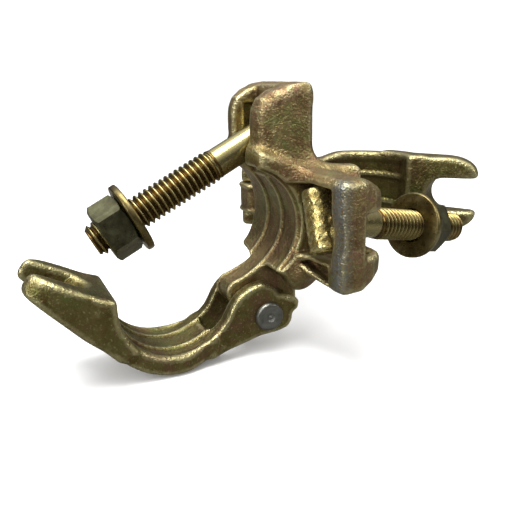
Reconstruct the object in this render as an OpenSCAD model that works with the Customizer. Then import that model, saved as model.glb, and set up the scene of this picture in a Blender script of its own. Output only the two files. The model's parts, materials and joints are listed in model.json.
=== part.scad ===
// Right-angle scaffold coupler: two tube clamps back to back, shown open.
// Frame: millimetres, +Z up, origin on tube A's axis, at the middle of the seat band that tube A
// bears on. Tube A runs along Y, and tube B runs along Z at x = tube_gap.
// Each clamp is drawn in its own u, v, w frame: u leads out of the mouth, v leads to the bolt,
// w runs along the tube. place_a and place_b put that frame on either side of the body.

/* [Tubes] */
// Radius of the saddle bore, for a 48.3 mm tube
bore_r = 24.25; // [24.2:0.05:24.4]
// Distance between the two tube axes
tube_gap = 56; // [55.5:0.1:57]
// Width of each saddle along its tube
saddle_w = 47; // [46:0.5:47]

/* [Hinge] */
// Hinge pin position along u
pin_u = -13.5; // [-14:0.1:-13]
// Hinge pin position along v
pin_v = -42.5; // [-43:0.1:-42]
// Radius of the hinge pin
pin_r = 4.5; // [4:0.1:4.8]
// Width of the body's hinge tongue
tongue_w = 14.4; // [13:0.1:14.6]
// How far flap A stands open
flap_a_open = 52; // [45:1:60]
// How far flap B stands open
flap_b_open = 37; // [37:1:60]

/* [Flaps] */
// Width of the curved part of a flap
flap_w = 37; // [34:1:40]
// Thickness of the curved part of a flap
flap_t = 8; // [6.5:0.1:8.5]
// Width of the slot between the two prongs
fork_slot = 16; // [15.6:0.1:17]

/* [Bolts] */
// Pivot of tee head A along u
tee_a_u = -24; // [-24.5:0.1:-23.5]
// Pivot of tee head A along v
tee_a_v = 38.2; // [37.5:0.1:38.5]
// Pivot of tee head B along u, pushed back in its pocket
tee_b_u = -28.5; // [-28.5:0.1:-24]
// Pivot of tee head B along v
tee_b_v = 34.6; // [34.6:0.1:37]
// Diameter of the tee head
tee_d = 12; // [11:0.1:12.4]
// Length of the tee head
tee_len = 26.4; // [24:0.1:26.8]
// Diameter of the plain shank
shank_d = 12.6; // [12:0.1:13]
// Outside diameter of the thread
thread_d = 14; // [13.5:0.1:14]
// Thread pitch
pitch = 2.5; // [2:0.1:3]
// Distance from the tee head's axis to the first thread
thread_from = 33; // [31:1:35]
// Distance from the tee head's axis to the bolt's end
bolt_len = 91; // [88:1:91]
// Swing of bolt A towards its tube
bolt_a_swing = 27; // [20:1:28]
// Swing of bolt B towards its tube
bolt_b_swing = 13.5; // [6:0.5:13.5]
// Downward sag of bolt B in its loose pocket
bolt_b_sag = 11.2; // [0:0.1:11.2]
// Roll of bolt B about its own shank
bolt_b_roll = 24; // [0:1:24]
// Rise of tee head B in its pocket
tee_b_rise = 3.2; // [2.6:0.1:3.2]

/* [Nuts and washers] */
// Across-flats size of a nut
nut_af = 22; // [21:1:24]
// Height of a nut
nut_h = 12; // [11:0.5:13]
// Diameter of a washer
washer_d = 30; // [28:1:32]
// Thickness of a washer
washer_t = 3; // [2.5:0.1:3.5]
// Distance from tee head A's axis to washer A
washer_a_at = 71; // [58:1:74]
// Distance from tee head B's axis to washer B
washer_b_at = 58; // [56:1:74]

/* [Parts] */
// Which part to draw

/* [Hidden] */
$fn = 96;
half_saddle = saddle_w / 2;
groove_at = 7.3;
groove_w = 1.2;
end_relief = 0.8;
seat_mid = (groove_at + groove_w / 2 + half_saddle - end_relief) / 2;
slot_half = 8.5;
pocket_half = 17.9;
ear_in = tongue_w / 2 + 0.3;
ear_out = 14.6;
gold = [0.56, 0.53, 0.30];
olive = [0.50, 0.48, 0.28];
bright = [0.66, 0.60, 0.30];
dull = [0.42, 0.43, 0.40];
rim = [0.58, 0.57, 0.36];
green_grey = [0.40, 0.42, 0.33];

module place_a() {
  multmatrix([[-1, 0, 0, 0], [0, 0, 1, -seat_mid], [0, 1, 0, 0]]) children();
}

module place_b() {
  multmatrix([[1, 0, 0, tube_gap], [0, -1, 0, -seat_mid], [0, 0, -1, 0]]) children();
}

// A plate of a given thickness across w, centred on w = 0, from a 2D outline in u, v.
module plate(width) {
  linear_extrude(width, center = true) children();
}

// A bar through the clamp along u, from a 2D outline in v, w.
module bar_u(from, to) {
  translate([from, 0, 0]) rotate([0, 90, 0]) rotate([0, 0, 90])
    linear_extrude(to - from) children();
}

// A bar through the clamp along v, from a 2D outline in u, w.
module bar_v(from, to) {
  translate([0, from, 0]) rotate([-90, 0, 0]) mirror([0, 1, 0]) linear_extrude(to - from) children();
}

// ---- body ----

module saddle() {
  intersection() {
    cylinder(r = 31.5, h = saddle_w, center = true);
    plate(saddle_w) polygon([[-7, 40], [-45, 40], [-45, -40], [-26, -28], [-12, -18.9], [-7, 0]]);
  }
}

// Cheeks and lobes of the bolt box seen along the tube, with the lobes' big round corner.
module box_side() {
  square_u = [-7, -32.8];
  translate([square_u[1], 12]) square([square_u[0] - square_u[1], 33]);
  translate([square_u[1], 12]) square([18.5, 40.5]);
  translate([-15, 44.5]) circle(r = 8);
}

// Plan of the box along v: widest at the crossbar, tapering to the lobes.
module box_plan() {
  polygon([[-33.4, -20.3], [-30, -21.8], [-20, -21.8], [-8.5, -16.6], [-7, -14.8], [-7, 14.8],
           [-8.5, 16.6], [-20, 21.8], [-30, 21.8], [-33.4, 20.3]]);
}

module bolt_box() {
  difference() {
    intersection() {
      union() {
        plate(50) box_side();
        translate([-29, 48, -22]) cube([9, 8, 44]);
      }
      bar_v(8, 60) box_plan();
    }
    // pocket for the tee head, open at the back and behind the crossbar
    intersection() {
      plate(2 * pocket_half) polygon([[-60, 21.5], [-22.5, 21.5], [-19, 24.5], [-14, 27.5], [-14, 49],
                                        [-60, 49]]);
      bar_v(20, 60) polygon([[-60, -pocket_half], [-20, -pocket_half], [-14, -14], [-14, 14],
                             [-20, pocket_half], [-60, pocket_half]]);
    }
    // opening above the lobes' backs, in front of the crossbar
    translate([-20, 44, -slot_half]) cube([20, 20, 2 * slot_half]);
    translate([-60, 44, -pocket_half]) cube([31, 20, 2 * pocket_half]);
    // lightening recess in the back of each cheek
    for (s = [-1, 1]) bar_u(-40, -27) polygon([[26, s * 19.4], [45, s * 19.4], [45, s * 20.6]]);
  }
}

module tongue() {
  plate(tongue_w) {
    polygon([[-28, -14], [-14.5, -17], [-13.4, -19.2], [-9.5, -22.8], [-4.5, -25.6], [0.3, -26.9],
             [3.2, -30.2], [2.5, -35], [-5.5, -43], [-16, -50.5], [-24.5, -50], [-30, -46], [-31.2, -42],
             [-31, -33.5], [-27.5, -30.5], [-28.5, -26]]);
    translate([pin_u, pin_v]) circle(r = 9);
  }
}

// Slot the shank swings in, through the box's front and the saddle's edge.
module shank_slot() {
  plate(2 * slot_half) polygon([[-24, 24.5], [-20, 20], [-14, 15], [0, 5], [0, 62], [-19.9, 62],
                                [-19.9, 46], [-24, 46]]);
}

module half_body() {
  difference() {
    union() {
      saddle();
      bolt_box();
    }
    shank_slot();
  }
  tongue();
}

// What a tube takes away: the bore, its grooves, and extra room beyond the saddle.
module tube_room() {
  cylinder(r = bore_r, h = saddle_w + 2, center = true);
  for (s = [-1, 1]) {
    translate([0, 0, s * groove_at]) cylinder(r = bore_r + 0.7, h = groove_w, center = true);
    translate([0, 0, s * (half_saddle + 40 - end_relief)]) cylinder(r = bore_r + 0.9, h = 80, center = true);
  }
}

module pin_room() {
  translate([pin_u, pin_v, 0]) cylinder(r = pin_r + 0.1, h = 80, center = true);
}

module body() {
  color(olive) difference() {
    union() {
      place_a() half_body();
      place_b() half_body();
    }
    place_a() tube_room();
    place_b() tube_room();
    place_a() pin_room();
    place_b() pin_room();
  }
}

// ---- flaps, drawn closed ----

module flap_arc() {
  difference() {
    intersection() {
      cylinder(r = bore_r + flap_t + 0.1, h = flap_w, center = true);
      plate(flap_w) polygon([[0, 0], [12.6, -47], [60, -47], [60, 30], [17.5, 30]]);
    }
    cylinder(r = bore_r + 0.1, h = flap_w + 2, center = true);
    for (s = [-1, 1]) translate([0, 0, s * groove_at])
      cylinder(r = bore_r + 0.8, h = groove_w, center = true);
  }
}

module fork() {
  difference() {
    intersection() {
      plate(flap_w) polygon([[12.2, 21.2], [13.6, 23.5], [19.6, 51], [21.2, 52.6], [26, 52.2],
                             [27.6, 50.5], [30.6, 24], [31.6, 6], [26, 3]]);
      bar_u(0, 60) polygon([[-5, -18.5], [40, -18.5], [46, -17], [50.5, -14.4], [53, -11.5], [53, 11.5],
                            [50.5, 14.4], [46, 17], [40, 18.5], [-5, 18.5]]);
    }
    cylinder(r = bore_r + 0.1, h = flap_w + 2, center = true);
    translate([0, 30.6 + fork_slot / 2, 0]) rotate([0, 90, 0]) cylinder(r = fork_slot / 2, h = 60);
    translate([0, 30.6 + fork_slot / 2, -fork_slot / 2]) cube([60, 30, fork_slot]);
  }
}

// One hinge ear, outlined about the pin as it stands with flap A open.
module ear_outline() {
  polygon([[2, 15.5], [8, 14.2], [13.5, 11], [17.4, 6.2], [20.5, 0.5], [26, -6], [24.5, -13.5],
           [15.5, -11.5], [3.5, -8.6], [-7, -8], [-10.4, -7], [-12.4, -4.6], [-12.8, -0.2],
           [-15.2, 0.8], [-15.6, 4.6], [-12.8, 6.8], [-5.5, 9], [-3, 13]]);
}

module ears() {
  difference() {
    plate(2 * ear_out) translate([pin_u, pin_v]) rotate(52) ear_outline();
    plate(2 * ear_in) square(200, center = true);
    translate([pin_u, pin_v, 0]) cylinder(r = pin_r + 0.02, h = 60, center = true);
    cylinder(r = bore_r + 0.1, h = 60, center = true);
  }
}

module flap() {
  flap_arc();
  fork();
  ears();
}

module open_by(angle) {
  translate([pin_u, pin_v, 0]) rotate([0, 0, -angle]) translate([-pin_u, -pin_v, 0]) children();
}

module flap_a() {
  color(gold) place_a() open_by(flap_a_open) flap();
}

module flap_b() {
  color(gold) place_b() open_by(flap_b_open) flap();
}

// ---- rivets ----

module rivet() {
  head_h = 2.2;
  reach = ear_out + 0.05;
  translate([pin_u, pin_v, 0]) {
    cylinder(r = pin_r, h = 2 * reach + 0.2, center = true);
    for (s = [0, 180]) rotate([s, 0, 0]) translate([0, 0, reach])
      rotate_extrude() polygon([[0, 0], [6.5, 0], [6.5, head_h - 0.6], [5.9, head_h],
                                [2.6, head_h], [1.9, head_h - 0.5], [0, head_h - 0.5]]);
  }
}

module rivet_a() {
  color(dull) place_a() open_by(flap_a_open) rivet();
}

module rivet_b() {
  color(dull) place_b() open_by(flap_b_open) rivet();
}

// ---- bolts ----

// Half section of the bolt's shank and thread, as radius against distance from the tee head.
module shank_section() {
  crest = thread_d / 2;
  root = crest - 0.56 * pitch;
  count = floor((bolt_len - 1.5 - thread_from) / pitch);
  teeth = [for (i = [0:count - 1], q = [[0.15, root], [0.3, root], [0.65, crest], [0.85, crest]])
             [q[1], thread_from + (i + q[0]) * pitch]];
  polygon(concat([[0, 0], [shank_d / 2, 0], [shank_d / 2, thread_from]], teeth,
                 [[crest - 1, bolt_len], [0, bolt_len]]));
}

// Bolt with its tee head along w and its shank along u, pivot at the origin.
module tee_bolt() {
  half = tee_len / 2;
  rotate_extrude() polygon([[0, -half], [tee_d / 2 - 1, -half], [tee_d / 2, 1 - half],
                            [tee_d / 2, half - 1], [tee_d / 2 - 1, half], [0, half]]);
  rotate([0, 90, 0]) rotate_extrude() shank_section();
}

module nut_shape() {
  difference() {
    intersection() {
      linear_extrude(nut_h) circle(d = nut_af / cos(30), $fn = 6);
      rotate_extrude() polygon([[0, 0], [nut_af / 2, 0], [nut_af / 2 + 2, 1.2],
                                [nut_af / 2 + 2, nut_h - 1.2], [nut_af / 2, nut_h], [0, nut_h]]);
    }
    translate([0, 0, -1]) cylinder(d = thread_d + 0.2, h = nut_h + 2);
  }
}

module washer_shape() {
  difference() {
    rotate_extrude() polygon([[0, 0.4], [0, washer_t - 0.4], [washer_d / 2 - 0.4, washer_t],
                              [washer_d / 2, washer_t - 0.4], [washer_d / 2, 0.4],
                              [washer_d / 2 - 0.4, 0]]);
    translate([0, 0, -1]) cylinder(d = thread_d + 1, h = washer_t + 2);
  }
}

// Move a piece drawn about the pivot, or along the shank, to where each bolt stands.
module at_bolt_a() {
  place_a() translate([tee_a_u, tee_a_v, 0]) rotate([0, 0, -bolt_a_swing]) children();
}

module at_bolt_b() {
  place_b() translate([tee_b_u, tee_b_v, -tee_b_rise]) rotate([0, 0, -bolt_b_swing])
    rotate([0, -bolt_b_sag, 0]) rotate([-bolt_b_roll, 0, 0]) children();
}

module along_shank(distance, turn) {
  translate([distance, 0, 0]) rotate([0, 90, 0]) rotate([0, 0, turn]) children();
}

module bolt_a() {
  color(bright) at_bolt_a() tee_bolt();
}

module bolt_b() {
  color(bright) at_bolt_b() tee_bolt();
}

module washer_a() {
  color(rim) at_bolt_a() along_shank(washer_a_at, 0) washer_shape();
}

module washer_b() {
  color(rim) at_bolt_b() along_shank(washer_b_at, 0) washer_shape();
}

module nut_a() {
  color(green_grey) at_bolt_a() along_shank(washer_a_at + washer_t + 0.3, 10) nut_shape();
}

module nut_b() {
  color(green_grey) at_bolt_b() along_shank(washer_b_at + washer_t + 0.3, 25) nut_shape();
}

body();
flap_a();
flap_b();
rivet_a();
rivet_b();
bolt_a();
bolt_b();
washer_a();
washer_b();
nut_a();
nut_b();
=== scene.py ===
import json
import math
import bpy
import numpy as np
from mathutils import Matrix, Vector


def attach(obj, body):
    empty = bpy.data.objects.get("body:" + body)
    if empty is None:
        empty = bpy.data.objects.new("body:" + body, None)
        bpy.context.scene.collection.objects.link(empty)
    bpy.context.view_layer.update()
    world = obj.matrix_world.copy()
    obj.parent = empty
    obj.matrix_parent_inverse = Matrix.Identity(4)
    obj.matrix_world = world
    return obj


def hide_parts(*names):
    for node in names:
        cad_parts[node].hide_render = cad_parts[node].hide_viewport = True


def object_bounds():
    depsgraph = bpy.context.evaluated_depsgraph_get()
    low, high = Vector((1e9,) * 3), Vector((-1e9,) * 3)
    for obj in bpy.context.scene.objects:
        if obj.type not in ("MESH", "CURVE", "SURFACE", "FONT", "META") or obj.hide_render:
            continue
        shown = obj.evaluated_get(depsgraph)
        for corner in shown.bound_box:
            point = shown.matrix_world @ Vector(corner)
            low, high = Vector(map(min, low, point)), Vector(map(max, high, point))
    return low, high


# Looks of a right-angle scaffold coupler. Shapes are worked out in millimetres in each clamp's own
# frame (u out of the mouth, v towards the bolt, w along the tube) and placed in the CAD's frame.
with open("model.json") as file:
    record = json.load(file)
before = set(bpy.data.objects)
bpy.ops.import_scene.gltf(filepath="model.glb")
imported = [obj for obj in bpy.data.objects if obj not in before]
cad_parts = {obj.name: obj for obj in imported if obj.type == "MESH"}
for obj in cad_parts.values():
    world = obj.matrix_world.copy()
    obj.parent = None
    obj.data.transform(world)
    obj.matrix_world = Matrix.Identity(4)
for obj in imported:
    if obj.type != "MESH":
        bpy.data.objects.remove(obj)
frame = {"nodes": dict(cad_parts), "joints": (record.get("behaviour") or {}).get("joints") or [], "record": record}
cad_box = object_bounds()

MM = 0.001
# in mm, tube B's axis stands at x = GAP, y = -SEAT_MID, and clamp A's middle is at y = -SEAT_MID too
MOUNT_B = [m for m in frame["record"]["mounts"] if m["name"] == "tube_b_seat"][0]
GAP = MOUNT_B["pos_m"][0] / MM
SEAT_MID = -MOUNT_B["pos_m"][1] / MM
BORE = MOUNT_B["dims"]["r_mm"]
JOINTS = {j["name"]: j for j in frame["joints"]}
# each clamp's hinge pin in (u, v), the same for both, and how far each flap stands open at rest
HINGE_A = JOINTS["flap_a_hinge"]["pos_m"]
PIN = (round(-HINGE_A[0] / MM, 3), round(HINGE_A[2] / MM, 3))
FLAP_OPEN = {side: JOINTS["flap_%s_hinge" % side]["range_deg"][1] for side in "ab"}
PLACE = {
    "a": np.array([[-1, 0, 0, 0], [0, 0, 1, -SEAT_MID], [0, 1, 0, 0], [0, 0, 0, 1]], float),
    "b": np.array([[1, 0, 0, GAP], [0, -1, 0, -SEAT_MID], [0, 0, -1, 0], [0, 0, 0, 1]], float),
}


# ---- signed distances, negative inside ----

def smin(a, b, k):
    h = np.maximum(k - np.abs(a - b), 0.0) / k
    return np.minimum(a, b) - h * h * k * 0.25


def smax(a, b, k):
    return -smin(-a, -b, k)


def polygon(x, y, corners):
    """Distance to a closed outline."""
    best, inside = None, None
    pts = [np.array(c, float) for c in corners]
    for a, b in zip(pts, pts[1:] + pts[:1]):
        e = b - a
        px, py = x - a[0], y - a[1]
        t = np.clip((px * e[0] + py * e[1]) / (e @ e), 0, 1)
        d2 = (px - e[0] * t) ** 2 + (py - e[1] * t) ** 2
        best = d2 if best is None else np.minimum(best, d2)
        if a[1] != b[1]:
            crosses = ((a[1] > y) != (b[1] > y)) & (x < e[0] * (y - a[1]) / e[1] + a[0])
            inside = crosses if inside is None else inside ^ crosses
    return np.where(inside, -1.0, 1.0) * np.sqrt(best)


def softened(corners, radius, steps=4):
    """The outline with each corner rounded by about the given radius."""
    out = []
    n = len(corners)
    for i in range(n):
        p = Vector(corners[i])
        a = Vector(corners[i - 1]) - p
        b = Vector(corners[(i + 1) % n]) - p
        reach = min(radius, a.length * 0.45, b.length * 0.45)
        start, end = p + a.normalized() * reach, p + b.normalized() * reach
        for s in range(steps + 1):
            t = s / steps
            q = start * (1 - t) ** 2 + p * (2 * t * (1 - t)) + end * t * t
            out.append((q.x, q.y))
    return out


def bump(x, centre, width):
    return np.exp(-(((x - centre) / width) ** 2))


# ---- the forged body ----

SADDLE_R, SADDLE_HALF = 31.6, 23.5
SLOT_HALF = 8.5
TONGUE_HALF, TONGUE_HOLLOW = 7.2, 0.8
BODY_PIN_HOLE, FLAP_PIN_HOLE = 4.7, 4.4
THROUGH = 20
RIDGE_HEIGHT = 0.9
BAND_DEPTH = 0.95
# w of the shelf beyond each tee head, and how much the saddle's lower end is trimmed to one side
WEB = {"a": 14.0, "b": 11.7}
SKEW = {"a": 0.17, "b": 0.0}
SADDLE = softened([(-6.6, 34), (-45, 40), (-45, -40), (-27, -29.5), (-13, -19.8), (-6.6, -2)], 2.5)
BOX_SIDE = softened([(-7.2, 10), (-7.2, 57), (-30.5, 57), (-33.0, 50), (-33.0, 10)], 2.2)
BOX_CORNER = [(-7.2, 20), (-7.2, 42.0), (-8.2, 46.5), (-11.0, 50.6), (-15.5, 53.6), (-21, 55.3), (-34, 56.2),
              (-34, 20)]
BOX_PLAN = softened([(-20.3, -33.4), (-22, -30), (-22, -19.5), (-17, -8.8), (-12.5, -6.9), (12.5, -6.9),
                     (17, -8.8), (22, -19.5), (22, -30), (20.3, -33.4)], 2.0)
BAR = softened([(-32.0, 47.6), (-20, 47.6), (-20, 55.4), (-29.5, 56.8), (-32.6, 54.0)], 3.4)
SLOT = [(-24, 24.5), (-20, 20), (-14, 15), (0, 5), (0, 64), (-19.9, 64), (-19.9, 46), (-24, 46)]
POCKET = [(-60, 21.5), (-22.5, 21.5), (-19, 24.5), (-14, 27.5), (-14, 48), (-60, 48)]
POCKET_PLAN = [(-17.9, -60), (-17.9, -20), (-14, -14), (14, -14), (17.9, -20), (17.9, -60)]
TONGUE = softened([(-28, -14), (-14.5, -17), (-13.4, -19.2), (-9.5, -22.8), (-4.5, -25.6), (0.3, -26.9),
                   (3.2, -30.2), (2.3, -35.5), (-5.5, -43), (-9, -50), (-16, -51.3), (-24.5, -50), (-30, -46),
                   (-31.2, -42), (-31, -33.5), (-27.5, -30.5), (-29, -24)], 2.4)
# the recess in one cheek: its near side as v and metal left over the shelf, its far side as v and w
RECESS_NEAR = [(24, 2.4), (45.5, 1.2), (46.5, 2.5)]
RECESS_FAR = [(46.5, 20.3), (41, 20.0), (24, 17.4)]
BODY_RIDGES = {"a": (-20.0, -5.5, 9.0), "b": (-9.0, 5.5, 20.0)}


def above_shelf(v, w, web):
    """Above 0 beyond the shelf that closes the tee's pocket, which leans slightly along v."""
    return w - (web + 0.6 - 0.04 * (v - 22))


def half_body(u, v, w, web, skew):
    """One clamp's saddle, bolt box and hinge tongue, before its bore is cut; web places the tee's
    shelf and skew trims the saddle's lower end towards one side."""
    r = np.hypot(u, v)
    saddle = smax(smax(r - SADDLE_R, polygon(u, v, SADDLE), 3.0), np.abs(w) - SADDLE_HALF, 3.0)
    saddle = smax(saddle, (u + 13) * 0.57 - (v + 19.8) * 0.82 + skew * np.maximum(w - 2, 0), 2.0)
    side = smax(polygon(u, v, BOX_SIDE), polygon(u, v, BOX_CORNER), 0.5)
    plan = polygon(w, u, BOX_PLAN)
    box = smax(side, plan, 4.5)
    bar = smax(smax(polygon(u, v, BAR), plan + 0.2, 3.0), np.abs(w) - 21.8, 2.0)
    box = smin(box, bar, 1.6)
    pocket = smax(polygon(u, v, POCKET), polygon(w, u, POCKET_PLAN), 2.0)
    pocket = smax(pocket, above_shelf(v, w, web), 1.0)
    box = smax(box, -pocket, 1.8)
    # blind recess in the back of one cheek, under a thin web
    recess = polygon(v, w, [(at, web + metal) for at, metal in RECESS_NEAR] + RECESS_FAR)
    box = smax(box, -smax(recess, u + 26.5, 2.0), 1.2)
    solid = smin(saddle, box, 5.0)
    boss = np.sqrt(((u + 25) / 5.5) ** 2 + ((v + 25.4) / 4.6) ** 2 + ((w + 19.6) / 5.0) ** 2) - 1
    solid = smin(solid, boss * 4.6, 4.0)
    slot = smax(polygon(u, v, SLOT), np.abs(w) - SLOT_HALF, 1.5)
    solid = smax(solid, -slot, 2.0)
    hollow = TONGUE_HOLLOW * np.clip((5.9 - np.abs(w)) / 1.4, 0, 1)
    tongue = smax(polygon(u, v, TONGUE) + hollow, np.abs(w) - TONGUE_HALF, 1.6)
    return smin(solid, tongue, 3.0)


def ridge(w, at):
    """How far a ridge across the bore stands above the band beside it."""
    return RIDGE_HEIGHT * np.clip(1.6 * bump(w, at, 1.1), 0, 1)


def bore_cut(u, v, w, ridges):
    """The room for a tube: recessed bands between raised ridges."""
    wall = BORE + BAND_DEPTH
    for at in ridges:
        wall = wall - ridge(w, at)
    return wall - np.hypot(u, v)


def tee_room(u, v, w, web):
    """Room for the tee head, cut again after the halves are blended, so their fillet stays out of it."""
    side = polygon(u, v, [(-40, 23.1), (-20, 23.1), (-15, 28.5), (-15, 47), (-40, 47)])
    room = smax(side, np.abs(w) - 17.4, 1.0)
    return smax(room, above_shelf(v, w, web), 1.0)


def body_field(x, y, z):
    """Both halves blended into one forging, with the bores, pockets and pin holes cut from it."""
    places = {"a": (-x, z, y + SEAT_MID), "b": (x - GAP, -(y + SEAT_MID), -z)}
    halves = [half_body(*places[side], WEB[side], SKEW[side]) for side in "ab"]
    d = smin(*halves, 9.0)
    for side in "ab":
        d = smax(d, bore_cut(*places[side], BODY_RIDGES[side]), 1.0)
    for side in "ab":
        u, v, w = places[side]
        d = smax(d, -tee_room(u, v, w, WEB[side]), 1.2)
        hole = np.maximum(np.hypot(u - PIN[0], v - PIN[1]) - BODY_PIN_HOLE, np.abs(w) - THROUGH)
        d = smax(d, -hole, 0.6)
    return d


# ---- a flap, drawn closed ----

def turned(points, angle, pivot):
    c, s = math.cos(angle), math.sin(angle)
    return [(pivot[0] + c * x - s * y, pivot[1] + s * x + c * y) for x, y in points]


FLAP_THICK = 8.1
ARC_HALF, ARC_FLARE = 14.7, 3.9
EAR_HALF, EAR_GAP_HALF = 14.6, 7.5
THROAT_HALF, THROAT_END = 8.1, 38.6
FLAP_RIDGES = (-7.0, 7.0)
KNUCKLE_AT, KNUCKLE_R = (-11, -40), 21.5
EAR = turned(softened([(2, 15.5), (8, 14.2), (13.5, 11), (17.4, 6.2), (20.5, 0.5), (27, -5), (27, -15.0),
                       (15.5, -12.2), (3.5, -9.2), (-5, -8.6), (-9.8, -7.4), (-12.0, -4.6),
                       (-12.6, -0.4), (-15.0, 0.6), (-15.8, 4.8), (-12.8, 7.0), (-5.5, 9.4), (-3, 13)], 1.6),
             math.radians(FLAP_OPEN["a"]), PIN)
ARC = softened([(0, 0), (11.8, -47), (60, -47), (60, 30), (17.0, 30)], 1.0)
PRONG_SIDE = softened([(11.6, 20.4), (13.0, 23.5), (17.8, 49.0), (18.8, 53.0), (20.8, 54.6), (24.6, 54.6),
                       (27.2, 52.2), (28.8, 40), (31.4, 24), (32.4, 6), (26, 3)], 2.0)
PRONG_PLAN = softened([(-18.6, -5), (-18.6, 40), (-17.8, 45.5), (-15.8, 50), (-12.8, 53.2), (-9.2, 54.8),
                       (9.2, 54.8), (12.8, 53.2), (15.8, 50), (17.8, 45.5), (18.6, 40), (18.6, -5)], 2.0)


def flap_field(u, v, w):
    """A half ring with a fork at one end and two hinge ears at the other."""
    r = np.hypot(u, v)
    angle = np.degrees(np.arctan2(v, u))
    rim = 0.5 * bump(np.abs(w), 18.5, 2.0)
    bend = np.clip((angle + 78) / 42, 0, 1)
    half = ARC_HALF + ARC_FLARE * bend * bend * (3 - 2 * bend)
    arc = smax(smax(r - BORE - FLAP_THICK - rim, polygon(u, v, ARC), 1.5), np.abs(w) - half, 2.6)
    fork = smax(polygon(u, v, PRONG_SIDE), polygon(w, v, PRONG_PLAN), 2.6)
    throat = np.where(v > THROAT_END, np.abs(w), np.hypot(v - THROAT_END, w)) - THROAT_HALF
    fork = smax(fork, -throat, 2.4)
    ears = smax(polygon(u, v, EAR), np.abs(w) - EAR_HALF, 2.4)
    ears = smax(ears, EAR_GAP_HALF - np.abs(w), 1.2)
    d = smin(smin(arc, fork, 3.0), ears, 4.5)
    deep = BAND_DEPTH - 0.85 * np.clip((np.abs(w) - 13.5) / 2.0, 0, 1)
    for at in FLAP_RIDGES:
        deep = deep - ridge(w, at)
    fade = np.clip((50 - angle) / 12, 0, 1)
    wall = BORE + 0.05 + np.maximum(deep, 0) * fade
    d = smax(d, wall - r, 2.6)
    hole = smax(np.hypot(u - PIN[0], v - PIN[1]) - FLAP_PIN_HOLE, np.abs(w) - THROUGH, 0.1)
    d = smax(d, -hole, 0.5)
    # room for the body's tongue between the ears
    knuckle = np.hypot(u - KNUCKLE_AT[0], v - KNUCKLE_AT[1]) - KNUCKLE_R
    knuckle = np.maximum(knuckle, np.abs(w) - EAR_GAP_HALF)
    return smax(d, -knuckle, 1.2)


# ---- a bolt ----

TEE_R, TEE_HALF, SHANK_R = 6.0, 13.2, 6.25
THREAD_FROM, BOLT_LEN, PITCH = 33.0, 91.0, 2.5
CREST_R, ROD_OVERLAP = 7.0, 2.0
TEE_COLOUR_TO = 9.5
# degrees about the clamp's own w, v and u by which the tee of bolt B leans
TEE_LEAN_B = (-13.5, -11.2, -24)


def tee_field(x, y, z):
    """Tee head along z, shank along x."""
    lumps = 0.16 * np.sin(0.9 * z + 2.0 * np.sin(0.7 * y + 0.4)) * np.sin(0.8 * x + 0.5 * z)
    lumps = lumps + 0.05 * np.sin(1.9 * z + 1.7) * np.sin(1.6 * y + 1.3 * x)
    head = smax(np.hypot(x, y) - TEE_R + lumps, np.abs(z) - TEE_HALF + 0.3 * lumps, 1.8)
    shank = np.hypot(y, z) - SHANK_R
    shank = smax(smax(shank, x - THREAD_FROM - 0.2, 0.6), -x, 0.5)
    return smin(head, shank, 2.4)


# ---- meshing a field ----

# how far to each side a field is sampled for its slope
PROBE = 0.05
CORNERS = [(i, j, k) for i in (0, 1) for j in (0, 1) for k in (0, 1)]


def crossed_cells(inside):
    """The grid cells that the surface passes through, and a grid of their numbers, -1 elsewhere."""
    n = np.array(inside.shape) - 1
    count = sum(inside[i:i + n[0], j:j + n[1], k:k + n[2]].astype(np.int8) for i, j, k in CORNERS)
    cells = np.argwhere((count > 0) & (count < 8))
    index = np.full(n, -1, np.int64)
    index[tuple(cells.T)] = np.arange(len(cells))
    return cells, index


def crossing_means(d, cells):
    """The mean place, in grid steps, where the surface crosses the edges of each cell."""
    total, hits = np.zeros((len(cells), 3)), np.zeros(len(cells))
    for a in CORNERS:
        for axis in range(3):
            if a[axis]:
                continue
            b = list(a)
            b[axis] = 1
            da = d[tuple((cells + a).T)].astype(float)
            db = d[tuple((cells + b).T)].astype(float)
            cross = (da < 0) != (db < 0)
            t = np.where(cross, da / np.where(cross, da - db, 1), 0)
            p = np.array(a, float) + t[:, None] * (np.array(b) - np.array(a))
            total += np.where(cross[:, None], p, 0)
            hits += cross
    return cells + total / hits[:, None]


def crossing_quads(inside, index):
    """A quad facing outwards for each grid edge that the surface crosses."""
    faces = []
    for axis in range(3):
        o1, o2 = [i for i in range(3) if i != axis]
        here = inside[tuple(slice(0, inside.shape[i] - (i == axis)) for i in range(3))]
        there = inside[tuple(slice(int(i == axis), None) for i in range(3))]
        edges = np.argwhere(here != there)
        edges = edges[(edges[:, o1] > 0) & (edges[:, o2] > 0)]
        flip = here[tuple(edges.T)]
        s1, s2 = np.eye(3, dtype=int)[[o1, o2]]
        quad = np.stack([index[tuple((edges - s1 - s2).T)], index[tuple((edges - s2).T)],
                         index[tuple(edges.T)], index[tuple((edges - s1).T)]], 1)
        if axis == 1:
            flip = ~flip
        quad[~flip] = quad[~flip][:, ::-1]
        faces.append(quad)
    return np.concatenate(faces)


def settled(field, points, h, rounds=3):
    """The points moved onto the surface, by at most half a grid step in each round."""
    for _ in range(rounds):
        g, value = gradient(field, points)
        step = value[:, None] * g / np.maximum((g ** 2).sum(1), 0.2)[:, None]
        limit = np.minimum(1.0, 0.5 * h / np.maximum(np.linalg.norm(step, axis=1), 1e-9))
        points = points - step * limit[:, None]
    return points


def surface(field, low, high, h):
    """A closed quad mesh of field = 0, from a grid of step h."""
    axes = [np.arange(a, b + h, h) for a, b in zip(low, high)]
    d = field(axes[0][:, None, None], axes[1][None, :, None], axes[2][None, None, :])
    d = np.ascontiguousarray(np.broadcast_to(d, [len(a) for a in axes]), dtype=np.float32)
    cells, index = crossed_cells(d < 0)
    points = np.array(low) + h * crossing_means(d, cells)
    return settled(field, points, h), crossing_quads(d < 0, index)


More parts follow.
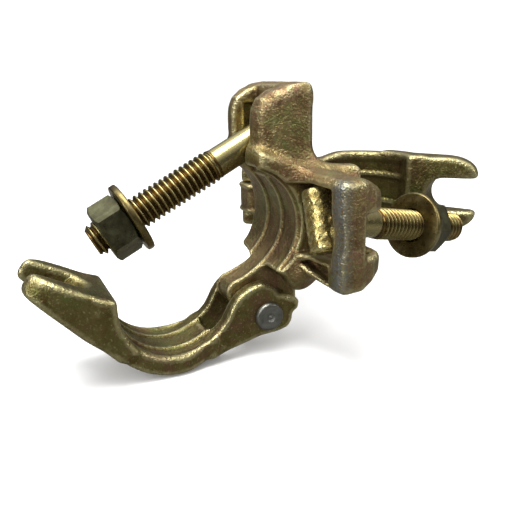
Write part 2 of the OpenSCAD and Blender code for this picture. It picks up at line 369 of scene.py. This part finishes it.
def gradient(field, p):
    """The field's slope and value at each point."""
    g = np.zeros_like(p)
    for i in range(3):
        q = p.copy()
        q[:, i] += PROBE
        s = p.copy()
        s[:, i] -= PROBE
        g[:, i] = (field(*q.T) - field(*s.T)) / (2 * PROBE)
    return g, field(*p.T)


def convexity(field, p, reach):
    """How sharply the surface turns outwards: above 0 on an edge, below 0 in a crease."""
    total = np.zeros(len(p))
    for i in range(3):
        for sign in (-1, 1):
            q = p.copy()
            q[:, i] += sign * reach
            total += field(*q.T)
    return total / reach


def unevenness(p, size, seed, waves=14):
    """Smooth waviness of a forged surface, about -1 to 1."""
    rng = np.random.RandomState(seed)
    total = np.zeros(len(p))
    for _ in range(waves):
        k = rng.normal(size=3)
        k *= 2 * math.pi / (size * rng.uniform(0.7, 1.5) * np.linalg.norm(k))
        total += np.sin(p @ k + rng.uniform(0, 6.28))
    return total / math.sqrt(waves)


# ---- Blender objects ----

def add_mesh(name, points, faces, matrix, body, node, material, attributes=None, sharp=None):
    """A piece from points in millimetres, placed in the CAD's frame, standing for one CAD node."""
    matrix = np.array(matrix, float)
    world = (points @ matrix[:3, :3].T + matrix[:3, 3]) * MM
    mesh = bpy.data.meshes.new(name)
    mesh.from_pydata(world.tolist(), [], [list(map(int, f)) for f in faces])
    mesh.validate()
    for key, values in (attributes or {}).items():
        a = mesh.attributes.new(key, "FLOAT", "POINT")
        a.data.foreach_set("value", np.asarray(values, np.float32))
    mesh.polygons.foreach_set("use_smooth", [True] * len(mesh.polygons))
    if sharp:
        mesh.set_sharp_from_angle(angle=math.radians(sharp))
    mesh.update()
    o = bpy.data.objects.new(name, mesh)
    bpy.context.scene.collection.objects.link(o)
    mesh.materials.append(material)
    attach(o, body)
    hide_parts(node)
    return o


# ---- matrices and turned shapes ----

def rotation(axis, degrees):
    m = np.eye(4)
    m[:3, :3] = np.array(Matrix.Rotation(math.radians(degrees), 3, Vector(axis)))
    return m


def shift(x, y, z):
    m = np.eye(4)
    m[:3, 3] = (x, y, z)
    return m


def turn_points(profile, steps):
    """The points of an (r, z) profile, repeated at equal angles about z."""
    angles = [2 * math.pi * i / steps for i in range(steps)]
    return [(r * math.cos(a), r * math.sin(a), z) for a in angles for r, z in profile]


def ring_quads(i, n, steps, count):
    """The first count quads between profile i and the next one about z, each profile having n points."""
    k = (i + 1) % steps
    return [(i * n + j, k * n + j, k * n + (j + 1) % n, i * n + (j + 1) % n) for j in range(count)]


def ring_faces(n, steps):
    """The quads of a closed ring, whose outlines have n points each."""
    return [quad for i in range(steps) for quad in ring_quads(i, n, steps, n)]


def revolve(profile, steps=96):
    """A closed ring turned about z from a closed (r, z) outline."""
    return np.array(turn_points(profile, steps)), ring_faces(len(profile), steps)


def turned_solid(profile, steps=72):
    """A solid turned about z from an open (r, z) profile, closed by a point at each end."""
    n = len(profile)
    points = turn_points(profile, steps)
    first, last = len(points), len(points) + 1
    points += [(0, 0, profile[0][1]), (0, 0, profile[-1][1])]
    faces = []
    for i in range(steps):
        k = (i + 1) % steps
        faces += ring_quads(i, n, steps, n - 1)
        faces += [(first, k * n, i * n), (last, i * n + n - 1, k * n + n - 1)]
    return np.array(points), faces


def thread(start, end, crest, pitch, steps=72, rows_per_pitch=16):
    """A threaded rod along z with a true right-hand helix, closed at both ends."""
    depth = 0.54 * pitch
    z = np.arange(start, end + 1e-6, pitch / rows_per_pitch)
    angle = np.arange(steps) * 2 * math.pi / steps
    zz, aa = np.meshgrid(z, angle, indexing="ij")
    phase = (zz / pitch - aa / (2 * math.pi)) % 1.0
    tooth = np.clip((0.5 - np.abs(phase - 0.5)) * 2.0, 0, 1)
    tooth = np.clip((tooth - 0.10) / 0.72, 0, 1)
    tooth = tooth * tooth * (3 - 2 * tooth) * 0.25 + tooth * 0.75
    runout = np.clip((zz - start) / (1.3 * pitch), 0, 1)
    radius = crest - depth * (1 - tooth) * runout - (1 - runout) * 0.55
    lead = np.clip((end - zz) / 1.8, 0, 1)
    radius = np.minimum(radius, crest - 1.5 * (1 - lead))
    points = np.stack([radius * np.cos(aa), radius * np.sin(aa), zz], -1).reshape(-1, 3)
    n = len(z)
    faces = []
    for i in range(n - 1):
        row, above = i * steps, (i + 1) * steps
        faces += [(row + j, row + (j + 1) % steps, above + (j + 1) % steps, above + j) for j in range(steps)]
    points = np.concatenate([points, [[0, 0, start], [0, 0, end]]])
    low, high = n * steps, n * steps + 1
    faces += [(low, (j + 1) % steps, j) for j in range(steps)]
    faces += [(high, (n - 1) * steps + j, (n - 1) * steps + (j + 1) % steps) for j in range(steps)]
    crest_share = np.concatenate([(tooth * runout).ravel(), [0, 0]])
    return points, faces, crest_share


def hex_nut(af, height, bore, steps=144):
    """A hexagon chamfered at both ends, with a bore, about z."""
    rows = [0, 0.12, 0.3, 0.55, 0.85, 1.2, 1.6, 2.1]
    heights = rows + [height / 2] + [height - q for q in reversed(rows)]
    inner = [(bore + 0.9, height), (bore, height - 0.9), (bore, 0.9), (bore + 0.9, 0)]
    points = []
    for i in range(steps):
        a = 2 * math.pi * i / steps
        within = (math.degrees(a) + 30) % 60 - 30
        flat = af / 2 / math.cos(math.radians(within))
        ring = [(min(flat, af / 2 - 0.25 + min(z, height - z) * 1.75), z) for z in heights] + inner
        points += [(r * math.cos(a), r * math.sin(a), z) for r, z in ring]
    return np.array(points), ring_faces(len(heights) + len(inner), steps)


# ---- materials ----

# sockets of a mix node that blends colours
FACTOR, COLOUR_A, COLOUR_B, MIXED = 0, 6, 7, 2
BARE_STEEL = (0.235, 0.240, 0.225)


def ramp(nodes, stops):
    """A colour ramp with the given (place, colour) stops."""
    node = nodes.new("ShaderNodeValToRGB")
    while len(node.color_ramp.elements) > 2:
        node.color_ramp.elements.remove(node.color_ramp.elements[-1])
    while len(node.color_ramp.elements) < len(stops):
        node.color_ramp.elements.new(0.5)
    for e, (at, c) in zip(node.color_ramp.elements, stops):
        e.position = at
        e.color = (*c, 1)
    return node


class Finish:
    """Small helper that wires a principled material from noise layers in object space."""

    def __init__(self, name):
        self.material = bpy.data.materials.new(name)
        self.material.use_nodes = True
        self.tree = self.material.node_tree
        self.nodes, self.links = self.tree.nodes, self.tree.links
        self.shader = self.nodes["Principled BSDF"]
        self.coords = self.nodes.new("ShaderNodeTexCoord").outputs["Object"]

    def put(self, kind, **values):
        node = self.nodes.new(kind)
        for key, value in values.items():
            setattr(node, key, value)
        return node

    def wire(self, source, target):
        self.links.new(source, target)

    def noise(self, scale, detail=3.0, rough=0.55, distortion=0.0, stretch=None):
        node = self.put("ShaderNodeTexNoise")
        node.inputs["Scale"].default_value = scale
        node.inputs["Detail"].default_value = detail
        node.inputs["Roughness"].default_value = rough
        node.inputs["Distortion"].default_value = distortion
        source = self.coords
        if stretch:
            mapping = self.put("ShaderNodeMapping")
            mapping.inputs["Scale"].default_value = stretch
            self.wire(self.coords, mapping.inputs["Vector"])
            source = mapping.outputs[0]
        self.wire(source, node.inputs["Vector"])
        return node.outputs["Fac"]

    def mix(self, fac, a, b, blend="MIX"):
        node = self.put("ShaderNodeMix", data_type="RGBA", blend_type=blend)
        for at, value in ((FACTOR, fac), (COLOUR_A, a), (COLOUR_B, b)):
            socket = node.inputs[at]
            if isinstance(value, bpy.types.NodeSocket):
                self.wire(value, socket)
            elif isinstance(value, (int, float)):
                socket.default_value = value
            else:
                socket.default_value = (*value, 1)
        return node.outputs[MIXED]

    def spread(self, value, low, high, to_low=0.0, to_high=1.0):
        node = self.put("ShaderNodeMapRange")
        node.inputs["From Min"].default_value = low
        node.inputs["From Max"].default_value = high
        node.inputs["To Min"].default_value = to_low
        node.inputs["To Max"].default_value = to_high
        self.wire(value, node.inputs["Value"])
        return node.outputs[0]

    def math(self, operation, a, b):
        node = self.put("ShaderNodeMath", operation=operation)
        for socket, value in zip(node.inputs, (a, b)):
            if isinstance(value, bpy.types.NodeSocket):
                self.wire(value, socket)
            else:
                socket.default_value = value
        return node.outputs[0]

    def attribute(self, name):
        return self.put("ShaderNodeAttribute", attribute_name=name).outputs["Fac"]

    def bumps(self, layers):
        """Chain of bump nodes: (height, strength, distance in metres)."""
        normal = None
        for height, strength, distance in layers:
            node = self.put("ShaderNodeBump")
            node.inputs["Strength"].default_value = strength
            node.inputs["Distance"].default_value = distance
            self.wire(height, node.inputs["Height"])
            if normal is not None:
                self.wire(normal, node.inputs["Normal"])
            normal = node.outputs[0]
        self.wire(normal, self.shader.inputs["Normal"])


def chromate(name, dark, base, warm, green, grain, rough=(0.34, 0.52), edge_colour=(0.62, 0.56, 0.30)):
    """Yellow chromate over forged steel: olive gold with mauve and green patches, bright edges that are partly
    rubbed wear and partly painted highlight, and painted shade in creases.
    """
    f = Finish(name)
    patches = f.noise(60, 3, 0.6, 0.8)
    tint = ramp(f.nodes, [(0.34, warm), (0.46, base), (0.54, base), (0.66, green)])
    f.wire(patches, tint.inputs[0])
    cloud = f.spread(f.noise(150, 5, 0.62, 0.3), 0.42, 0.68)
    colour = f.mix(cloud, tint.outputs[0], dark)
    speck = f.noise(620, 3, 0.6)
    colour = f.mix(f.spread(speck, 0.54, 0.68, 0.0, 0.55), colour, warm)
    colour = f.mix(f.spread(speck, 0.46, 0.34, 0.0, 0.55), colour, green)
    fleck = f.spread(f.noise(1000, 2, 0.5), 0.60, 0.74, 0.0, 0.45)
    colour = f.mix(fleck, colour, edge_colour)
    edge = f.attribute("edge")
    # convex edges turn paler and smoother: partly rubbed wear, partly a painted highlight along the edges
    wear_and_edge_highlight = f.spread(f.math("ADD", edge, f.spread(f.noise(420, 3), 0.3, 0.7, -0.16, 0.12)), 0.16, 0.60)
    colour = f.mix(f.math("MULTIPLY", wear_and_edge_highlight, 0.55), colour, edge_colour)
    bare = f.math("MULTIPLY", f.attribute("bare"), f.spread(f.noise(700, 4, 0.65), 0.36, 0.52))
    colour = f.mix(bare, colour, BARE_STEEL)
    # painted shade: creases and inner corners darkened towards a deeper copy of the dark colour
    crease = f.spread(edge, -0.55, -0.10, 0.5, 0.0)
    colour = f.mix(crease, colour, tuple(c * 0.55 for c in dark))
    f.wire(colour, f.shader.inputs["Base Color"])
    f.shader.inputs["Metallic"].default_value = 0.94
    blotch = f.noise(260, 3)
    r = f.spread(blotch, 0.3, 0.7, rough[0], rough[1])
    r = f.math("SUBTRACT", r, f.math("MULTIPLY", wear_and_edge_highlight, 0.08))
    f.wire(r, f.shader.inputs["Roughness"])
    f.bumps([(f.noise(190, 2, 0.5), 0.22 * grain, 0.0016), (f.noise(620, 2.5, 0.6), 0.75 * grain, 0.0007),
             (f.noise(1300, 2, 0.5), 0.9 * grain, 0.0004)])
    return f


def scratched(f, strength, stretch):
    """Adds fine parallel trim marks to a finish, on top of its other bumps."""
    marks = f.noise(1.0, 2, 0.6, 0.0, stretch)
    node = f.put("ShaderNodeBump")
    node.inputs["Strength"].default_value = strength
    node.inputs["Distance"].default_value = 0.00025
    f.wire(marks, node.inputs["Height"])
    old = f.shader.inputs["Normal"].links[0].from_socket
    f.wire(old, node.inputs["Normal"])
    f.wire(node.outputs[0], f.shader.inputs["Normal"])


BODY = chromate("forged_body", (0.150, 0.090, 0.040), (0.250, 0.185, 0.078), (0.285, 0.165, 0.100),
                (0.200, 0.210, 0.072), 1.0)
FLAP = chromate("forged_flap", (0.110, 0.080, 0.024), (0.180, 0.148, 0.050), (0.180, 0.108, 0.056),
                (0.150, 0.160, 0.048), 0.8, (0.30, 0.46))
scratched(FLAP, 0.45, (1100, 40, 110))
TEE = chromate("tee_gold", (0.26, 0.19, 0.060), (0.46, 0.38, 0.13), (0.36, 0.26, 0.10),
               (0.40, 0.38, 0.14), 0.45, (0.20, 0.32), (0.72, 0.64, 0.32))


def plated(name, dark, base, light, rough, grain_scale=600, brush=None, crest=None):
    """Machined and plated steel: softer colour changes and fine turning marks, and, when crest is given, painted
    shade in a thread's roots.
    """
    f = Finish(name)
    patches = f.noise(120, 4, 0.6, 0.4)
    tint = ramp(f.nodes, [(0.34, dark), (0.50, base), (0.68, light)])
    f.wire(patches, tint.inputs[0])
    colour = tint.outputs[0]
    if crest:
        # painted shade: the thread's roots, where the crest share is low, darken towards a deeper copy of the dark
        # colour
        share = f.spread(f.attribute("crest"), crest[0], crest[1])
        colour = f.mix(share, tuple(c * 0.55 for c in dark), colour)
        colour = f.mix(f.spread(f.attribute("crest"), 0.82, 1.0), colour, crest[2])
    f.wire(colour, f.shader.inputs["Base Color"])
    f.shader.inputs["Metallic"].default_value = 0.95
    f.wire(f.spread(f.noise(grain_scale, 3), 0.3, 0.7, rough[0], rough[1]), f.shader.inputs["Roughness"])
    layers = [(f.noise(grain_scale * 1.6, 2), 0.25, 0.0002)]
    if brush:
        layers.append((f.noise(1.0, 2, 0.6, 0.0, brush), 0.25, 0.00012))
    f.bumps(layers)
    return f


# the crest tuple: where the painted shade in the thread's roots fades out, and the crest colour
THREAD = plated("thread_gold", (0.17, 0.100, 0.028), (0.235, 0.175, 0.058), (0.235, 0.210, 0.080),
                (0.16, 0.28), crest=(0.05, 0.80, (0.31, 0.262, 0.115)))
NUT = plated("nut_olive", (0.060, 0.056, 0.028), (0.095, 0.090, 0.046), (0.15, 0.15, 0.082),
             (0.26, 0.40), 500, (400, 400, 900))
WASHER = plated("washer_brass", (0.085, 0.060, 0.020), (0.155, 0.120, 0.046), (0.26, 0.215, 0.10),
                (0.24, 0.38), 500, (900, 500, 900))
RIVET = plated("rivet_grey", (0.10, 0.10, 0.085), (0.17, 0.17, 0.15), (0.25, 0.25, 0.225),
               (0.34, 0.50), 700)


# ---- building the pieces ----

STEP = 0.75
BOLT_STEP = 0.5
# how far around a point its sharpness is judged, and the lengths of a forged surface's waves
FORGED_REACH, BOLT_REACH = 1.3, 1.0
COARSE, FINE = 9.0, 3.2
TRIM_AT, TRIM_R = (-31.5, 53.5), 5.0
RIVET_R, RIVET_REACH, RIVET_HEAD = 4.5, 14.66, 2.2
WASHER_THICK, WASHER_R, WASHER_HOLE = 3.0, 15.0, 7.5
NUT_FLATS, NUT_HEIGHT, NUT_BORE = 22.0, 12.0, 7.08
NUT_GAP = 0.3
NUT_TURN = {"a": 10, "b": 25}


def fine_field(field, low, high, h, seed, rough_mm):
    """A forged surface with slight waviness, less on its edges, and how sharp each point is."""
    points, faces = surface(field, low, high, h)
    edge = convexity(field, points, FORGED_REACH)
    g, _ = gradient(field, points)
    g /= np.maximum(np.linalg.norm(g, axis=1), 1e-6)[:, None]
    wobble = 0.6 * unevenness(points, COARSE, seed) + 0.4 * unevenness(points, FINE, seed + 1)
    flatness = np.clip(1 - np.abs(edge) * 2.0, 0.25, 1)
    return points + g * (wobble * rough_mm * flatness)[:, None], faces, edge


def build_body():
    low, high = (-8.0, -74.0, -55.0), (63.0, 40.0, 59.0)
    points, faces, edge = fine_field(body_field, low, high, STEP, 3, 0.10)
    u, v = points[:, 0] - GAP, -(points[:, 1] + SEAT_MID)
    # clamp B's cheek ends in a corner trimmed to bare steel
    bare = np.clip(1.2 - np.hypot(u - TRIM_AT[0], v - TRIM_AT[1]) / TRIM_R, 0, 1)
    bare = bare * (np.abs(points[:, 2]) < 30)
    add_mesh("coupler_body", points, faces, np.eye(4), "body", "body", BODY.material,
             {"edge": edge, "bare": bare})


def flap_matrix(side):
    """From the closed flap's own frame to where it stands open in the CAD's frame."""
    open_turn = shift(*PIN, 0) @ rotation((0, 0, 1), -FLAP_OPEN[side]) @ shift(-PIN[0], -PIN[1], 0)
    return PLACE[side] @ open_turn


def build_flaps():
    points, faces, edge = fine_field(flap_field, (-42, -66, -21), (36, 57, 21), STEP * 0.9, 11, 0.09)
    for side in "ab":
        add_mesh("coupler_flap_" + side, points, faces, flap_matrix(side), "flap_" + side, "flap_" + side,
                 FLAP.material, {"edge": edge})


def build_rivets():
    """A pin with a low head at each end, from (radius, share of the head's height) points."""
    head = [(0.35, 0.95), (0.9, 0.72), (1.5, 0.78), (2.0, 1.02), (2.5, 1.0), (3.0, 0.86), (4.4, 0.93),
            (5.6, 0.92), (6.15, 0.72), (6.5, 0.35), (6.5, 0.0)]
    top = [(r, RIVET_REACH + share * RIVET_HEAD) for r, share in head] + [(RIVET_R, RIVET_REACH)]
    points, faces = turned_solid([(r, -z) for r, z in top] + top[::-1])
    for side in "ab":
        add_mesh("hinge_rivet_" + side, points, faces, PLACE[side] @ shift(*PIN, 0), "flap_" + side,
                 "rivet_" + side, RIVET.material, sharp=50)


def bolt_matrix(side):
    """Maps the bolt's own frame, shank along x and tee head along z, into the CAD's frame."""
    swing = JOINTS["bolt_%s_swing" % side]
    shank = Vector(JOINTS["washer_%s_travel" % side]["axis"]).normalized()
    pivot = np.array(swing["pos_m"]) / MM
    m = np.eye(4)
    if side == "a":
        tee = Vector((0, 1, 0))
    else:
        about_w, about_v, about_u = TEE_LEAN_B
        lean = rotation((0, 0, 1), about_w) @ rotation((0, 1, 0), about_v) @ rotation((1, 0, 0), about_u)
        tee = Vector(PLACE["b"][:3, :3] @ lean[:3, 2])
    tee = (tee - shank * tee.dot(shank)).normalized()
    m[:3, 0], m[:3, 1], m[:3, 2], m[:3, 3] = shank, tee.cross(shank), tee, pivot
    return m


def along(distance, turn=0.0):
    """From a frame with its axis on z to the bolt's frame, at a distance along the shank."""
    return shift(distance, 0, 0) @ rotation((0, 1, 0), 90) @ rotation((0, 0, 1), turn)


def build_bolts():
    """Each bolt is a forged tee with a plain shank, and a threaded rod that starts inside the shank."""
    tee_points, tee_faces = surface(tee_field, (-8, -8, -15), (35, 8, 15), BOLT_STEP)
    tee_edge = convexity(tee_field, tee_points, BOLT_REACH)
    rod_points, rod_faces, crest = thread(THREAD_FROM - ROD_OVERLAP, BOLT_LEN, CREST_R, PITCH)
    rod = along(0)
    points = np.concatenate([tee_points, rod_points @ rod[:3, :3].T + rod[:3, 3]])
    faces = [list(f) for f in tee_faces] + [[i + len(tee_points) for i in f] for f in rod_faces]
    looks = {"edge": np.concatenate([tee_edge, np.zeros(len(rod_points))]),
             "crest": np.concatenate([np.ones(len(tee_points)), crest])}
    for side in "ab":
        place = bolt_matrix(side)
        o = add_mesh("tee_bolt_" + side, points, faces, place, "bolt_" + side, "bolt_" + side,
                     TEE.material, looks)
        # the tee's colour ends a little way along the shank, and the thread's covers the rest
        o.data.materials.append(THREAD.material)
        index = np.zeros(len(o.data.polygons), np.int32)
        index[len(tee_faces):] = 1
        centre = np.array([p.center for p in o.data.polygons][:len(tee_faces)]) / MM
        away = (centre - place[:3, 3]) @ place[:3, 0]
        index[:len(tee_faces)][away > TEE_COLOUR_TO] = 1
        o.data.polygons.foreach_set("material_index", index)


def washer_distance(side):
    """Where the washer's inner face stands along the shank, from the CAD node."""
    place = bolt_matrix(side)
    node = frame["nodes"]["washer_" + side]
    co = np.array([v.co for v in node.data.vertices]) / MM
    return float(((co - place[:3, 3]) @ place[:3, 0]).min())


def build_washers():
    half = [(WASHER_HOLE, 0.35), (WASHER_HOLE + 0.35, 0), (WASHER_R - 0.7, 0), (WASHER_R - 0.25, 0.18),
            (WASHER_R, 0.6)]
    points, faces = revolve(half + [(r, WASHER_THICK - z) for r, z in reversed(half)])
    for side in "ab":
        add_mesh("washer_" + side + "_ring", points, faces, bolt_matrix(side) @ along(washer_distance(side)),
                 "washer_" + side, "washer_" + side, WASHER.material, sharp=40)


def build_nuts():
    points, faces = hex_nut(NUT_FLATS, NUT_HEIGHT, NUT_BORE)
    for side in "ab":
        place = bolt_matrix(side) @ along(washer_distance(side) + WASHER_THICK + NUT_GAP, NUT_TURN[side])
        add_mesh("hex_nut_" + side, points, faces, place, "nut_" + side, "nut_" + side,
                 NUT.material, sharp=24)


build_body()
build_flaps()
build_rivets()
build_bolts()
build_washers()
build_nuts()


# ---- floor, light and camera ----

FLOOR_DROP, FLOOR_HALF = 0.001, 3.0
BACKDROP = (1.15, 1.15, 1.15)


def build_floor():
    z = cad_box[0][2] - FLOOR_DROP
    corners = [(x * FLOOR_HALF, y * FLOOR_HALF, z) for x, y in ((-1, -1), (1, -1), (1, 1), (-1, 1))]
    mesh = bpy.data.meshes.new("floor")
    mesh.from_pydata(corners, [], [(0, 1, 2, 3)])
    floor = bpy.data.objects.new("floor", mesh)
    bpy.context.scene.collection.objects.link(floor)
    f = Finish("floor_paint")
    f.shader.inputs["Base Color"].default_value = (0.93, 0.93, 0.93, 1)
    f.shader.inputs["Roughness"].default_value = 0.8
    f.shader.inputs["Specular IOR Level"].default_value = 0.1
    mesh.materials.append(f.material)
    floor.visible_glossy = False


def build_world():
    """A white backdrop, and a darker room with a bright ceiling that only reflections see."""
    world = bpy.data.worlds.new("studio")
    bpy.context.scene.world = world
    world.use_nodes = True
    nodes, links = world.node_tree.nodes, world.node_tree.links
    background = nodes["Background"]
    path = nodes.new("ShaderNodeLightPath")
    coords = nodes.new("ShaderNodeTexCoord")
    split = nodes.new("ShaderNodeSeparateXYZ")
    links.new(coords.outputs["Generated"], split.inputs[0])
    height = nodes.new("ShaderNodeMapRange")
    height.inputs["From Min"].default_value = -1.0
    height.inputs["From Max"].default_value = 1.0
    links.new(split.outputs["Z"], height.inputs["Value"])
    room = ramp(nodes, [(0.0, (0.13, 0.125, 0.11)), (0.30, (0.42, 0.41, 0.385)), (0.42, (0.26, 0.255, 0.24)),
                        (0.50, (0.06, 0.06, 0.057)), (0.62, (0.10, 0.10, 0.10)), (0.78, (0.62, 0.62, 0.62)),
                        (0.90, (1.7, 1.7, 1.7))])
    links.new(height.outputs[0], room.inputs[0])
    mix = nodes.new("ShaderNodeMix")
    mix.data_type = "RGBA"
    links.new(path.outputs["Is Glossy Ray"], mix.inputs[FACTOR])
    mix.inputs[COLOUR_A].default_value = (*BACKDROP, 1)
    links.new(room.outputs[0], mix.inputs[COLOUR_B])
    links.new(mix.outputs[MIXED], background.inputs[0])


def area_light(name, place, target, size, power):
    data = bpy.data.lights.new(name, "AREA")
    data.shape = "RECTANGLE"
    data.size, data.size_y = size
    data.energy = power
    o = bpy.data.objects.new(name, data)
    bpy.context.scene.collection.objects.link(o)
    o.location = place
    o.rotation_euler = (Vector(target) - Vector(place)).to_track_quat("-Z", "Y").to_euler()


def build_camera():
    data = bpy.data.cameras.new("camera")
    data.sensor_width = 36.0
    data.lens = 43.16
    data.clip_start = 0.01
    data.shift_x = 0.005
    o = bpy.data.objects.new("camera", data)
    bpy.context.scene.collection.objects.link(o)
    forward = Vector((0.3869, 0.8756, -0.2890)).normalized()
    right = Vector((0.9120, -0.4097, -0.0204))
    right = (right - forward * right.dot(forward)).normalized()
    m = Matrix((right, right.cross(forward), -forward)).transposed().to_4x4()
    m.translation = Vector((-0.0939, -0.2422 - SEAT_MID * MM, 0.0613))
    o.matrix_world = m
    bpy.context.scene.camera = o


build_floor()
build_world()
area_light("top_softbox", (-0.15, -0.10, 0.75), (0.02, -0.02, 0), (0.55, 0.40), 6.5)
area_light("left_strip", (-0.75, -0.35, 0.35), (0.0, 0.0, 0), (0.18, 0.55), 2.4)
area_light("right_strip", (0.70, -0.55, 0.45), (0.03, 0.0, 0), (0.20, 0.45), 2.0)
build_camera()
bpy.context.scene.view_settings.view_transform = "Standard"
